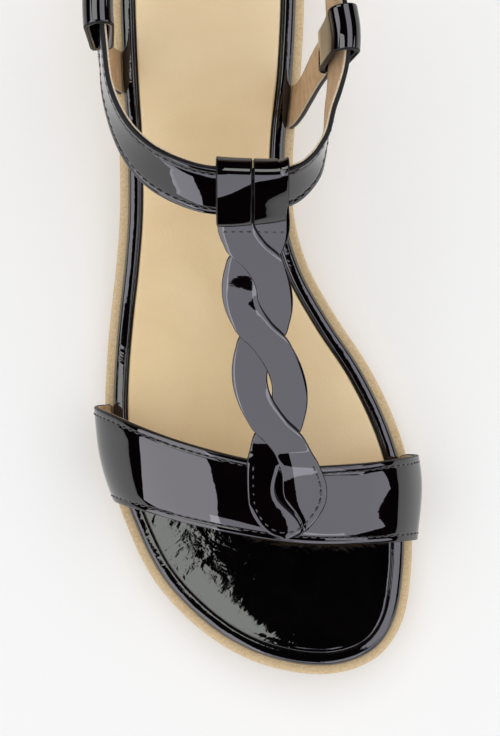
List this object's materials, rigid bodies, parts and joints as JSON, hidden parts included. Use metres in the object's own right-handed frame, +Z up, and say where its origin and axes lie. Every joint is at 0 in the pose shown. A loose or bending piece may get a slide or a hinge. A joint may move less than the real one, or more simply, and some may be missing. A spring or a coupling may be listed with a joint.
{
  "type": "sandal",
  "caption": "A right T-bar sandal in black patent leather, with a twisted bar, an ankle strap run through folded sleeves, a pale gold sock and a tan low wedge sole.",
  "frame": {"origin": "middle of the sandal's box, on the floor", "axes": "+Y from the toe to the heel, +X to the inner (medial) side of the foot, +Z up"},
  "size_m": [0.0956, 0.25, 0.1152],
  "materials": {
    "sole_rubber": "matte tan rubber with a fine grain",
    "patent": "black patent leather with a deep gloss",
    "gold_leather": "pale gold metallic leather, satin"
  },
  "bodies": {
    "root": {"sole": "sole_rubber", "footbed": "patent", "insole_sock": "gold_leather", "t_strap_upper": "patent", "ankle_strap": "patent", "quarter_strap_medial": "patent", "quarter_strap_lateral": "patent"}
  },
  "joints": []
}
